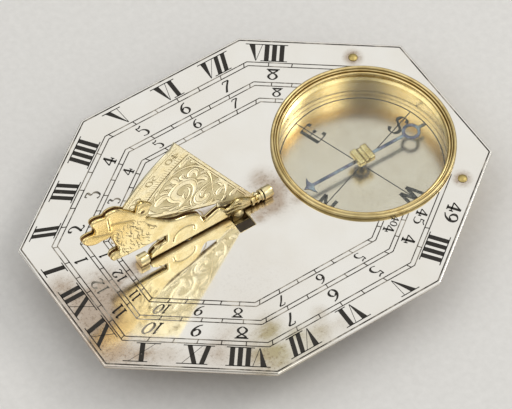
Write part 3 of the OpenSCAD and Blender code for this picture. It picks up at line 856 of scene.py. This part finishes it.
def card_engraving():
    mesh = bmesh.new()
    sweep(mesh, circle((0, 0), CARD_CIRCLE_R, 144), HAIRLINE, on_card, closed=True)
    for k, letter in enumerate("ENWS"):
        out = toward(DECLINATION + 90 * k)
        sweep(mesh, [out * CROSS_FROM, out * CARD_CIRCLE_R], HAIRLINE, on_card)
        write(mesh, letter, LETTER_H, placing(on_card, out * LETTER_R, -left_of(out), out), LETTER_WEIGHT)
    engraved("card_engraving", mesh, CARD_WAX)


TURNING_STEPS = 192


def turned(name, profile, material, node):
    """A ring turned round the compass that stands in for a node, from (radius, height) points."""
    mesh = bmesh.new()
    section = [(radius - BEZEL_R, height - CARD_TOP) for radius, height in profile]
    sweep(mesh, circle((0, 0), BEZEL_R, TURNING_STEPS), 1, on_card, section, closed=True)
    obj = piece(name, settle(mesh), material, BODY_OF[node], shade=50)
    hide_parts(node)


# The bezel's width, and the radii of its outer and inner beads.
BEZEL_W = 0.9
OUTER_BEAD, INNER_BEAD = 0.3, 0.15


def bezel():
    """The turned bezel: a round outer bead, a groove, and a lower inner bead."""
    inner_r = BEZEL_R - BEZEL_W
    h = BEZEL_HIGH.z - TOP
    profile = [(inner_r, TOP), (BEZEL_R - 0.36, TOP), (BEZEL_R - 0.34, TOP + h * 0.12)]
    profile += arc((BEZEL_R - OUTER_BEAD, TOP + h - 0.36), OUTER_BEAD, -52, 168, 17)
    profile += [(BEZEL_R - 0.62, TOP + h * 0.38)]
    profile += arc((inner_r + 0.13, TOP + h * 0.46), INNER_BEAD, 10, 180, 8)
    turned("compass_bezel_turned", profile, TURNED, "compass_bezel")


SEAT_SLOPE = 0.55


def glass_seat():
    """The ring under the glass, whose top slopes inward so that it throws light up."""
    low, high = box_mm("glass_seat_ring")
    outer_r = (high.x - low.x) / 2
    inner_r = min((p.xy - COMPASS).length for p in points_of("glass_seat_ring"))
    drop = (outer_r - inner_r) * SEAT_SLOPE
    profile = [(inner_r, low.z), (outer_r, low.z), (outer_r, high.z), (inner_r, high.z - drop)]
    turned("glass_seat_sloped", profile, WELL, "glass_seat_ring")


# The gnomon's flat sides face west and east, and are drawn along Y and up from the plate's top.
WEST, EAST = -1, 1
CHEEK_ROUND = 0.3
ROUND_STEPS = 5
# How close the cheeks' points are on the outline, along the creases and inside.
EDGE_GAP, CREASE_GAP, GRID = 0.12, 0.1, 0.4
# The cheeks' faces stand this far over their rivets, which are filed flush.
FLUSH = 0.005
CREASE_W = 0.26
CREASE_DEPTH = 0.12
CREASE_LINE = 0.09
CREASE_DIRT = flat_top(-0.06, -0.14)
CREASES = [
    [(12.9, 2.6), (13.1, 3.9), (14.3, 4.7), (15.8, 4.6), (16.8, 3.7), (17.1, 2.4)],
    [(24.8, 14.75), (25.9, 15.35), (27.2, 16.05), (28.7, 16.6)],
    [(29.3, 18.6), (29.2, 17.4), (29.05, 16.2), (29.0, 15.1)],
    [(28.6, 14.2), (29.4, 14.55), (30.3, 14.95), (31.2, 15.4), (32.1, 16.0)],
    [(1.7, 2.15), (2.7, 2.65), (3.5, 3.15)],
    [(2.9, 1.45), (4.1, 1.8), (5.1, 1.95), (6.5, 2.05)],
    [(21.2, 16.4), (22.0, 17.0), (22.9, 17.1), (23.5, 16.4)],
    [(23.6, 15.8), (23.0, 14.9), (22.1, 14.6), (21.4, 15.2)],
    [(27.4, 8.0), (28.1, 8.1), (28.8, 7.7)],
    [(10.6, 3.3), (10.8, 4.4), (11.6, 5.6)],
    [(18.7, 4.2), (19.3, 3.3), (19.9, 2.6)],
]
BIRD_EYE, BIRD_EYE_R = (22.8, 15.6), 0.42
FEATHERS_FROM = Vector((20.2, 5.8))
FEATHER_GAP = 0.74
FEATHER_COLUMNS, FEATHER_ROWS = 12, 13
FEATHERS = [(20.4, 9.6), (21.4, 7.2), (22.6, 5.9), (27.4, 6.2), (27.9, 9.6), (28.2, 13.0), (27.6, 14.6),
            (24.6, 14.8), (22.9, 13.0), (21.2, 11.2)]


def outline_of(node, x):
    """The outer edge of a node's flat side at x, as anticlockwise points along Y and up from the plate."""
    mesh = node_mesh(node)
    nexts = {}
    for edge in mesh.edges:
        flat = sum(abs(face.normal.x) > 0.99 for face in edge.link_faces)
        if flat == 1 and all(abs(v.co.x - x) < 0.005 for v in edge.verts):
            a, b = edge.verts
            nexts.setdefault(a, []).append(b)
            nexts.setdefault(b, []).append(a)
    loops = []
    while nexts:
        last, here = None, next(iter(nexts))
        loop = []
        while here in nexts:
            loop.append(Vector((here.co.y, here.co.z - TOP)))
            onward = [v for v in nexts.pop(here) if v is not last and v in nexts]
            last, here = here, onward[0] if onward else None
        loops.append(loop)
    mesh.free()
    longest = max(loops, key=lambda loop: max(p.x for p in loop) - min(p.x for p in loop))
    area = sum(a.x * b.y - b.x * a.y for a, b in around(longest))
    return longest if area > 0 else longest[::-1]


def spaced(points, gap, closed=True):
    """The same line with no step longer than gap."""
    made = []
    for a, b in around(points) if closed else zip(points, points[1:]):
        count = max(1, ceil((b - a).length / gap))
        made += [a.lerp(b, k / count) for k in range(count)]
    return made if closed else made + [points[-1]]


def tree_of(points):
    tree = KDTree(len(points))
    for i, p in enumerate(points):
        tree.insert((p.x, p.y, 0), i)
    tree.balance()
    return lambda p: tree.find((p.x, p.y, 0))[2]


def face_x(node, side):
    """The X of a node's flat face on the west or east."""
    low, high = box_mm(node)
    return high.x if side == EAST else low.x


def cheek_points(outline, creases, to_edge, to_crease, foot):
    """Points over a cheek: outline, rings of its rounding, creases and a grid."""
    points = list(outline)
    inward = normals(outline, closed=True)
    for k in range(1, ROUND_STEPS + 1):
        inset = CHEEK_ROUND * (1 - cos(pi / 2 * k / ROUND_STEPS))
        ring = [p + n * inset for p, n in zip(outline, inward)]
        points += [p for p in ring if to_edge(p) > 0.97 * inset and p.y > foot]
    for line in creases:
        for offset in (-1, -0.5, 0, 0.5, 1):
            row = [p + n * offset * CREASE_W for p, n in zip(line, normals(line))]
            points += [p for p in row if to_edge(p) > CHEEK_ROUND]
    left, right = min(p.x for p in outline), max(p.x for p in outline)
    top = max(p.y for p in outline)
    for i in range(int((right - left) / GRID)):
        for j in range(int((top - foot) / GRID)):
            p = Vector((left + (i + 0.5 * (j % 2)) * GRID, foot + (j + 0.5) * GRID))
            if to_edge(p) > CHEEK_ROUND * 1.3 and to_crease(p) > CREASE_W * 1.4:
                points.append(p)
    return points


def rounded_cheek(node, side):
    """A cheek with its node's outline, its outer edges filed round and its lines chased in."""
    outer, inner = face_x(node, side), face_x(node, -side)
    outline = spaced(outline_of(node, outer), EDGE_GAP)
    foot = min(p.y for p in outline) + 0.02
    to_edge = tree_of([p for p in spaced(outline, 0.04) if p.y > foot])
    creases = [spaced(smooth(line, 8), CREASE_GAP, closed=False) for line in CREASES]
    to_crease = tree_of([p for line in creases for p in spaced(line, 0.03, closed=False)])
    points = cheek_points(outline, creases, to_edge, to_crease, foot)
    flat, _, faces, sources, _, _ = delaunay_2d_cdt(points, [], [list(range(len(outline)))], 1, 1e-5)
    at = {source: i for i, group in enumerate(sources) for source in group}
    mesh = bmesh.new()
    verts = []
    for p in flat:
        gap = max(CHEEK_ROUND - to_edge(p), 0)
        drop = CHEEK_ROUND - sqrt(max(CHEEK_ROUND ** 2 - gap ** 2, 0))
        crease = CREASE_DEPTH * exp(-2 * (to_crease(p) / CREASE_W * 1.6) ** 2)
        x = outer + side * (FLUSH - min(drop + crease, CHEEK_ROUND))
        verts.append(mesh.verts.new((x, p.x, p.y + TOP)))
    for face in faces:
        mesh.faces.new([verts[i] for i in face])
    back = [mesh.verts.new((inner, p.x, p.y + TOP)) for p in outline]
    wall(mesh, back, [verts[at[i]] for i in range(len(outline))])
    # The inner face takes the darker gilding: painted shade between the parts.
    mesh.faces.new(back).material_index = 1
    obj = piece(f"{node}_chased", settle(mesh), CAST, "gnomon", shade=40)
    obj.data.materials.append(SHADED_DULL)
    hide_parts(node)


def on_side(x, side):
    """A placing on the gnomon's flat side at x that faces the given way."""
    return lambda y, z, h: Vector((x + side * h, y, TOP + z))


def inside(p, polygon):
    crossed = [(y0 > p.y) != (y1 > p.y) and p.x < x0 + (p.y - y0) / (y1 - y0) * (x1 - x0)
               for (x0, y0), (x1, y1) in around(polygon)]
    return sum(crossed) % 2 == 1


def tapered(mesh, points, half, place, section=INLAY, steps=6, fullest=0.5):
    """A stroke through the points, widest at the fullest part of its length."""
    line = smooth(points, steps)
    last = len(line) - 1
    bias = log(0.5) / log(fullest)
    swell = [max(sin(pi * (k / last) ** bias), 0) ** 0.7 for k in range(last + 1)]
    sweep(mesh, line, [half * (0.12 + 0.88 * share) for share in swell], place, section)


def feathers(node, side):
    """Slanting cuts of the graver over the bird's breast, the dirt in its creases, and its eye."""
    place = on_side(face_x(node, side), side)
    draw = random.Random(node)
    mesh = bmesh.new()
    for i in range(FEATHER_COLUMNS):
        for j in range(FEATHER_ROWS):
            p = FEATHERS_FROM + Vector((i + draw.random(), j + draw.random())) * FEATHER_GAP
            run = toward(draw.gauss(64, 15)) * draw.uniform(0.4, 0.95)
            bend = left_of(run) * draw.choice((-1, 1)) * draw.uniform(0.2, 0.5)
            if inside(p, FEATHERS) and draw.random() < 0.85:
                tapered(mesh, [p - run, p - run * 0.4 + bend, p + run * 0.4 + bend * 0.5, p + run],
                        draw.uniform(0.055, 0.105), place, steps=4)
    for line in CREASES:
        tapered(mesh, line, CREASE_LINE, place, CREASE_DIRT)
    engraved(f"{node}_cuts", mesh, FEATHER_GRIME, "gnomon")
    eye = bmesh.new()
    slab(eye, circle(BIRD_EYE, BIRD_EYE_R, 20), place)
    engraved(f"{node}_eye", eye, GRIME_AND_SHADE, "gnomon")


# The swelling on the west of the lug: its middle and its half sizes.
SWELL_AT = (-0.25, 4.17, TOP - 0.05)
SWELL = (0.98, 1.0, 0.98)


def lug_swell():
    mesh = bmesh.new()
    bmesh.ops.create_uvsphere(mesh, u_segments=32, v_segments=20, radius=1)
    bmesh.ops.scale(mesh, vec=SWELL, verts=mesh.verts)
    bmesh.ops.translate(mesh, vec=SWELL_AT, verts=mesh.verts)
    piece("lug_swell", mesh, WORN, "gnomon", shade=60)


# The sector's scroll of leaves: the Y and Z of each one's points in turn, in tenths, and half its width.
SCROLL = [
    ([83, 66, 89, 90, 92, 112, 93, 132, 97, 154, 106, 176, 120, 195, 138, 207, 158, 209, 178, 201, 194,
      185, 202, 167, 202, 153], 0.2),
    ([92, 128, 83, 129, 75, 122, 69, 110, 65, 97, 65, 84, 68, 74], 0.29),
    ([87, 121, 79, 119, 72.5, 111, 71, 102], 0.55),
    ([69, 91, 73, 97, 79, 92, 80, 83], 0.64),
    ([42, 76, 46, 71, 52, 65, 55, 59], 0.67),
    ([69, 73, 68, 65, 73, 59], 0.43),
    ([95, 130, 107, 128, 118, 120, 123, 108, 120, 97, 112, 91, 104, 93, 102, 100, 106, 105], 0.67),
    ([103, 135, 118, 131, 130, 119, 134, 103, 131, 89], 0.17),
    ([99, 120, 106, 118, 112, 112, 112, 105], 0.43),
    ([142, 108, 132, 116, 126, 130, 125, 146, 131, 161, 144, 169, 159, 167, 168, 157, 169, 146, 163, 135,
      154, 127, 150, 118, 155, 108], 0.91),
    ([149, 154, 141, 152, 136, 143, 136, 131, 140, 122, 146, 116], 0.2),
    ([145, 143, 148, 135, 147, 127], 0.2),
    ([102, 141, 104, 150, 111, 158, 121, 161], 0.59),
    ([105, 139, 110, 145, 117, 148, 122, 145], 0.29),
    ([122, 168, 121, 179, 127, 188, 134, 185, 134, 176], 0.71),
    ([139, 174, 146, 179, 151, 188, 148, 195], 0.43),
    ([157, 172, 160, 182, 166, 191, 172, 192], 0.71),
    ([169, 171, 175, 179, 184, 181], 0.48),
    ([173, 143, 178, 152, 187, 156, 195, 151, 200, 143], 0.83),
    ([178, 162, 183, 170, 192, 170], 0.48),
    ([163, 130, 166, 123, 175, 121, 186, 129, 198, 134], 0.2),
    ([158, 113, 167, 112, 176, 114], 0.29),
    ([134, 224, 141, 227, 148, 223, 152, 216], 0.64),
    ([159, 216, 171, 212, 183, 204], 0.29),
    ([122, 206, 130, 216, 131, 220], 0.26),
    ([103, 84, 115, 83, 126, 86], 0.43),
    ([89, 82, 95, 76, 104, 75], 0.43),
    ([138, 95, 146, 100, 156, 99], 0.29),
    ([200, 126, 209, 132, 214, 142], 0.29),
    ([124, 85, 137, 87, 149, 92, 159, 97], 0.36),
    ([164, 104, 175, 108, 187, 117], 0.38),
    ([99, 166, 108, 171, 115, 170], 0.36),
    ([186, 192, 195, 182, 199, 173], 0.26),
    ([76, 59, 83, 66, 92, 68], 0.31),
]
LEAF_STEPS = 8
LEAF_FULLEST = 0.64
# Sections of the leaves, the rim round them, the matted ground, and their dark outlines and veins.
LEAF = ((-1, SINK), (-1, 0.008), (-0.72, 0.027), (-0.3, 0.03),
        (0.3, 0.03), (0.72, 0.027), (1, 0.008), (1, SINK))
RIM = flat_top(0.014)
GROUND_H = 0.003
CONTOUR = flat_top(0.007)
VEIN = flat_top(0.034)
RIM_LINE = 0.11
RIM_CONTOUR_W = 0.12
CONTOUR_W = 0.13
VEIN_LINE = 0.05
# Leaves with more than this half width have a vein.
VEINED = 0.33
# A thin dark strip under the blade's lower edge, painted shade in the gap between the cheeks: its outline,
# and how far in its faces are.
LOWER_SHADE_STRIP = [(8.25, 6.2), (8.25, 5.75), (11.5, 6.95), (15.3, 8.5), (19.6, 10.42), (22.5, 11.95),
               (24.3, 12.95), (24.3, 13.6)]
SHADE_STRIP_INSET = 0.02
LOWER_RIDGE = 0.27
STYLE_RIM, LOWER_RIM = 0.66, 0.62
# The panel starts this far from the rivet along the style, and ends this far from the step.
PANEL_START, PANEL_END = 3.2, 0.4
# The lower edge begins at a step this near to the rivet.
STEP_WITHIN = 9
# Radii from the rivet: the end of the panel, a ridge, a groove, and the scale with its marks.
PANEL_R = 25.3
RIDGE_R, RIDGE_LINE = 25.75, 0.2
GROOVE_R, GROOVE_LINE = 26.15, 0.1
SHORT_MARK_R, LONG_MARK_R = 27.3, 28.0
SCALE_R, SCALE_HALF = 28.4, 2.1
NUMBER_R, NUMBER_H = 28.7, 1.6
SCALE_LINE_R, SCALE_LINE = 30.0, 0.06
MARK_LINE = 0.045
# A latitude's mark is at this angle less the latitude, so that the bird's beak points at it.
BEAK_READS = 95.5
SCALE_FROM, SCALE_TO = 38, 66
NUMBERED = (40, 50, 60)


def sector_lines():
    """The rivet and the straight edges of the sector, along Y and up from the plate."""
    corners = outline_of("latitude_sector", face_x("latitude_sector", EAST))
    rivet_low, rivet_high = box_mm("sector_rivet")
    rivet = Vector(((rivet_low.y + rivet_high.y) / 2, (rivet_low.z + rivet_high.z) / 2 - TOP))
    tip = max(corners, key=lambda p: p.y)
    low = max(corners, key=lambda p: p.x)
    step = max((p for p in corners if p.x < rivet.x + STEP_WITHIN), key=lambda p: (round(p.x, 2), p.y))
    return rivet, tip, low, step


def sector_ground(mesh, place, rivet, tip, low, step):
    """The matted panel between the rims of the sector and its scale."""
    style = (tip - rivet).normalized()
    lower = (low - step).normalized()
    inward = left_of(lower)
    start = rivet - left_of(style) * STYLE_RIM + style * PANEL_START
    foot = step + inward * LOWER_RIM + lower * PANEL_END
    first = last = heading(style) - degrees(STYLE_RIM / PANEL_R)
    while (rivet + toward(last) * PANEL_R - step).dot(inward) > LOWER_RIM:
        last -= 0.25
    border = [start] + arc(rivet, PANEL_R, first, last, 40)
    border += [foot, step + Vector((-0.7, -0.5)), rivet + Vector((2.5, 1.45))]
    slab(mesh, border[::-1], place, SINK, GROUND_H)
    return border


def scroll(leaves, dark, place):
    """The scroll's leaves in one mesh, and their dark outlines and veins in another."""
    for tenths, half in SCROLL:
        points = pairs(tenths, 10)
        tapered(leaves, points, half, place, LEAF, LEAF_STEPS, LEAF_FULLEST)
        tapered(dark, points, half + CONTOUR_W, place, CONTOUR, LEAF_STEPS, LEAF_FULLEST)
        if half > VEINED:
            line = smooth(points, LEAF_STEPS)
            vein = [p + n * half * 0.3 for p, n in zip(line, normals(line))]
            tapered(dark, vein[3:-3], VEIN_LINE, place, VEIN, steps=2)


def sector_work(side):
    """The scroll, the matted ground and the scale of latitudes on one side of the sector."""
    place = on_side(face_x("latitude_sector", side), side)
    rivet, tip, low, step = sector_lines()
    ground, leaves, dark, marks = bmesh.new(), bmesh.new(), bmesh.new(), bmesh.new()
    border = sector_ground(ground, place, rivet, tip, low, step)
    sweep(dark, border, RIM_LINE + RIM_CONTOUR_W, place, CONTOUR, closed=True)
    sweep(leaves, border, RIM_LINE, place, RIM, closed=True)
    scroll(leaves, dark, place)

    def arc_at(radius, inset):
        edge = degrees(inset / radius)
        return arc(rivet, radius, heading(low - rivet) + edge, heading(tip - rivet) - edge, 48)

    lower = (low - step).normalized()
    inset = left_of(lower) * LOWER_RIDGE
    sweep(leaves, [step + inset + lower * 0.3, low + inset - lower * 6], LOWER_RIDGE - 0.02, place, LEAF)
    sweep(leaves, arc_at(RIDGE_R, 0.3), RIDGE_LINE, place, LEAF)
    sweep(leaves, arc_at(SCALE_R, 0.15), SCALE_HALF, place, flat_top(GROUND_H))
    sweep(dark, arc_at(GROOVE_R, 0.3), GROOVE_LINE, place)
    sweep(marks, arc_at(SCALE_LINE_R, 0.6), SCALE_LINE, place)
    for latitude in range(SCALE_FROM, SCALE_TO):
        out = toward(BEAK_READS - latitude)
        reach = SHORT_MARK_R if latitude % 5 else LONG_MARK_R
        sweep(marks, [rivet + out * GROOVE_R, rivet + out * reach], MARK_LINE, place)
        if latitude in NUMBERED:
            on_scale = placing(place, rivet + out * NUMBER_R, left_of(out) * side, out)
            write(marks, str(latitude), NUMBER_H, on_scale)
    name = "west" if side == WEST else "east"
    engraved(f"{name}_matted_ground", ground, MATTED, "sector")
    engraved(f"{name}_scroll", leaves, POLISHED, "sector", shade=50)
    engraved(f"{name}_scroll_contours", dark, GRIME_AND_SHADE, "sector")
    engraved(f"{name}_scale", marks, SCALE_GRIME, "sector")


def lower_strip():
    """The dark strip under the sector's lower edge: painted shade between the cheeks."""
    low, high = box_mm("latitude_sector")
    mesh = bmesh.new()
    slab(mesh, LOWER_SHADE_STRIP, on_side(0, EAST), low.x + SHADE_STRIP_INSET, high.x - SHADE_STRIP_INSET)
    engraved("sector_lower_shade_strip", mesh, GRIME_AND_SHADE, "sector")


# How wide each node's edges are rounded.
EASED = {
    "dial_plate": 0.2, "compass_needle": 0.13, "needle_cap": 0.3, "case_rivets": 0.16,
    "compass_knuckle": 0.12, "noon_knuckle": 0.12, "gnomon_foot": 0.05, "latitude_sector": 0.13,
    "leaf_spring": 0.05, "spring_rivet": 0.08, "compass_case": 0.08, "compass_floor": 0.15,
    "compass_glass": 0.18,
}


def dress_nodes():
    """Eased copies of the nodes whose edges show, and finishes for the rest."""
    for node, width in EASED.items():
        eased(node, width)
    for node, obj in frame["nodes"].items():
        if not obj.hide_render:
            obj.data.materials.clear()
            obj.data.materials.append(finish_of(node))


bpy.context.scene.view_settings.view_transform = "Standard"
camera()
key_light()
sky()
floor()
dress_nodes()
bezel()
glass_seat()
hour_lines()
roman_numerals()
figures()
card_engraving()
for cheek, cheek_side in (("west_cheek", WEST), ("east_cheek", EAST)):
    rounded_cheek(cheek, cheek_side)
    feathers(cheek, cheek_side)
lug_swell()
sector_work(WEST)
sector_work(EAST)
lower_strip()
